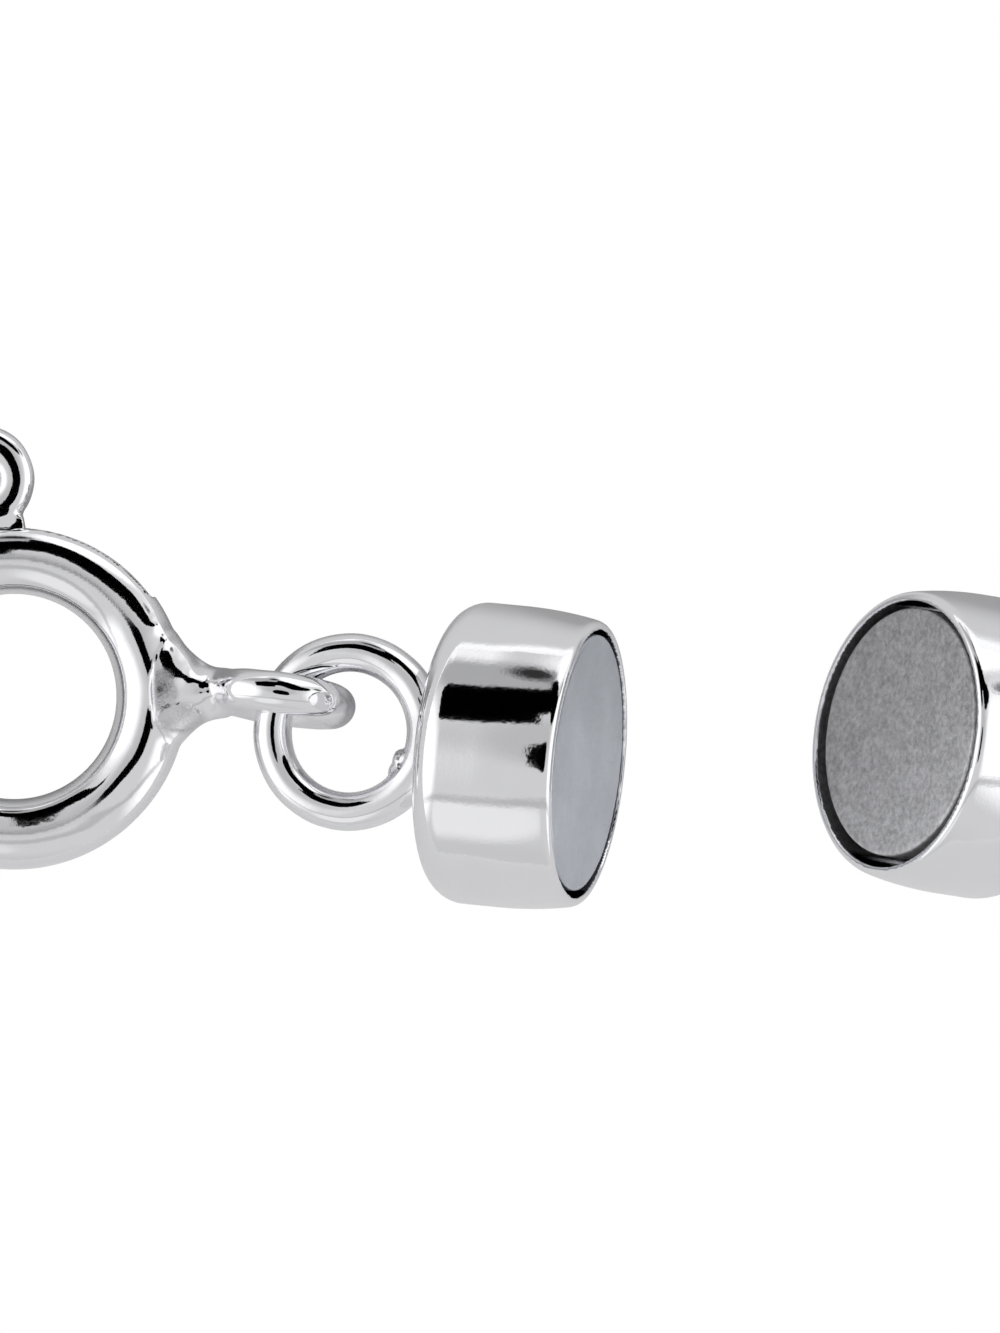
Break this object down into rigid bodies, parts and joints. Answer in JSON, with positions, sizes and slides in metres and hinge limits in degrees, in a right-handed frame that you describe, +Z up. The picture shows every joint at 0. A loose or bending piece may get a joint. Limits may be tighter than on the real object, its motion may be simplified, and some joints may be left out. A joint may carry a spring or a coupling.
{
  "type": "magnetic clasp for a necklace or bracelet",
  "caption": "Magnetic jewellery clasp: two soldered metal cups that each hold a disc magnet, one of them linked to a spring ring with a sliding sprung trigger.",
  "frame": {"origin": "middle of the whole clasp's footprint, on the surface that it lies on", "axes": "+X along the clasp from the spring ring to the loose half, +Y across it towards the spring ring's trigger, +Z up"},
  "size_m": [0.0268, 0.0097, 0.0065],
  "materials": {
    "silver": "polished silver with fine wear and dull solder joints",
    "magnet_pale": "pale bluish plating, smooth satin",
    "magnet_grey": "bare ground grey, fine mottled grain"
  },
  "bodies": {
    "root": {"spring_ring": "silver", "cup_left": "silver", "magnet_left": "magnet_pale", "cup_right": "silver", "magnet_right": "magnet_grey"},
    "trigger": {"trigger": "silver"}
  },
  "joints": [
    {"name": "trigger_slide", "type": "hinge", "parent": "root", "child": "trigger", "pos_m": [-0.00995, -0.0006, 0.00097], "axis": [-0.0944, 0, 0.9955], "range_deg": [-50, 0], "stiffness_Nm_per_rad": 0.004, "springref_deg": 20.05}
  ]
}
